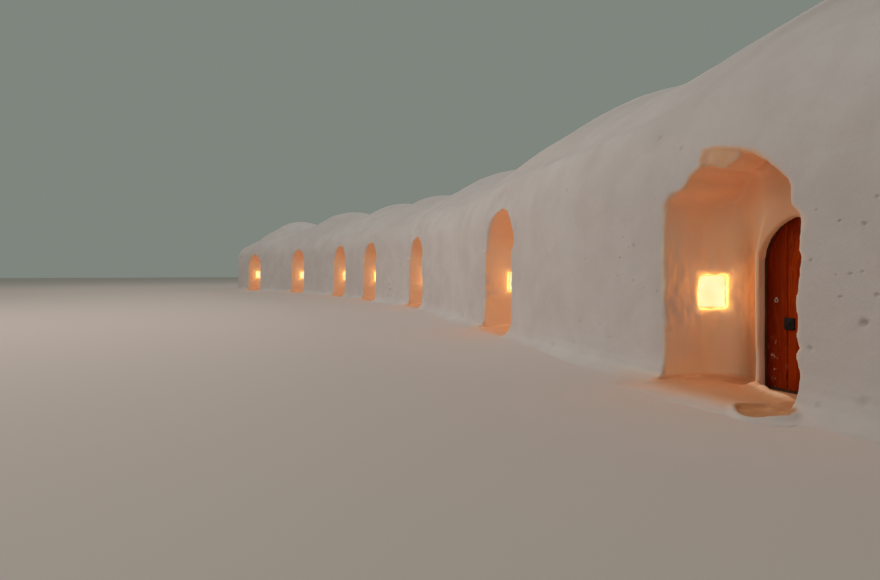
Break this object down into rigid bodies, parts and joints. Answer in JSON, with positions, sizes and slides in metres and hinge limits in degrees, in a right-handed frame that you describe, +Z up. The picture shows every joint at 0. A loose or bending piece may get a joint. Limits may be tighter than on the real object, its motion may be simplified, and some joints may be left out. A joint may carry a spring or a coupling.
{
  "type": "igloo row",
  "caption": "Long curved row of domed snow igloo rooms with arched porch niches, arched plank doors and small square lit windows.",
  "frame": {"origin": "on the ground at the middle of the whole row's plan box", "axes": "+X along the row towards bay 1, the front with the doors faces -Y, +Z up"},
  "size_m": [39.7955, 9.1058, 4.35],
  "materials": {
    "snow": "matte packed snow",
    "frame_timber": "dark stained boards",
    "door_timber": "dark reddish-brown planks",
    "black_iron": "black painted",
    "lit_ice": "frosted, lit from behind"
  },
  "bodies": {
    "root": {"snow_bay_1": "snow", "snow_bay_2": "snow", "snow_bay_3": "snow", "snow_bay_4": "snow", "snow_bay_5": "snow", "snow_bay_6": "snow", "snow_bay_7": "snow", "snow_end_near": "snow", "snow_end_far": "snow", "door_frame_1": "frame_timber", "door_frame_2": "frame_timber", "door_frame_3": "frame_timber", "door_frame_4": "frame_timber", "door_frame_5": "frame_timber", "door_frame_6": "frame_timber", "door_frame_7": "frame_timber", "window_pane_1": "lit_ice", "window_pane_2": "lit_ice", "window_pane_3": "lit_ice", "window_pane_4": "lit_ice", "window_pane_5": "lit_ice", "window_pane_6": "lit_ice", "window_pane_7": "lit_ice"},
    "door_1": {"door_leaf_1": "door_timber", "door_straps_1": "black_iron", "door_lock_1": "black_iron"},
    "door_2": {"door_leaf_2": "door_timber", "door_straps_2": "black_iron", "door_lock_2": "black_iron"},
    "door_3": {"door_leaf_3": "door_timber", "door_straps_3": "black_iron", "door_lock_3": "black_iron"},
    "door_4": {"door_leaf_4": "door_timber", "door_straps_4": "black_iron", "door_lock_4": "black_iron"},
    "door_5": {"door_leaf_5": "door_timber", "door_straps_5": "black_iron", "door_lock_5": "black_iron"},
    "door_6": {"door_leaf_6": "door_timber", "door_straps_6": "black_iron", "door_lock_6": "black_iron"},
    "door_7": {"door_leaf_7": "door_timber", "door_straps_7": "black_iron", "door_lock_7": "black_iron"}
  },
  "joints": [
    {"name": "door_hinge_1", "type": "hinge", "parent": "root", "child": "door_1", "pos_m": [16.81178, -3.25473, 0.36], "axis": [0, 0, -1], "range_deg": [0, 90]},
    {"name": "door_hinge_2", "type": "hinge", "parent": "root", "child": "door_2", "pos_m": [11.45308, -2.47521, 0.36], "axis": [0, 0, -1], "range_deg": [0, 90]},
    {"name": "door_hinge_3", "type": "hinge", "parent": "root", "child": "door_3", "pos_m": [3.96485, -0.9199, 0.36], "axis": [0, 0, -1], "range_deg": [0, 90]},
    {"name": "door_hinge_4", "type": "hinge", "parent": "root", "child": "door_4", "pos_m": [-0.67271, -0.81794, 0.36], "axis": [0, 0, -1], "range_deg": [0, 90]},
    {"name": "door_hinge_5", "type": "hinge", "parent": "root", "child": "door_5", "pos_m": [-4.62161, -0.87178, 0.36], "axis": [0, 0, -1], "range_deg": [0, 90]},
    {"name": "door_hinge_6", "type": "hinge", "parent": "root", "child": "door_6", "pos_m": [-10.02846, -1.54025, 0.36], "axis": [0, 0, -1], "range_deg": [0, 90]},
    {"name": "door_hinge_7", "type": "hinge", "parent": "root", "child": "door_7", "pos_m": [-14.66548, -3.03931, 0.36], "axis": [0, 0, -1], "range_deg": [0, 90]}
  ]
}
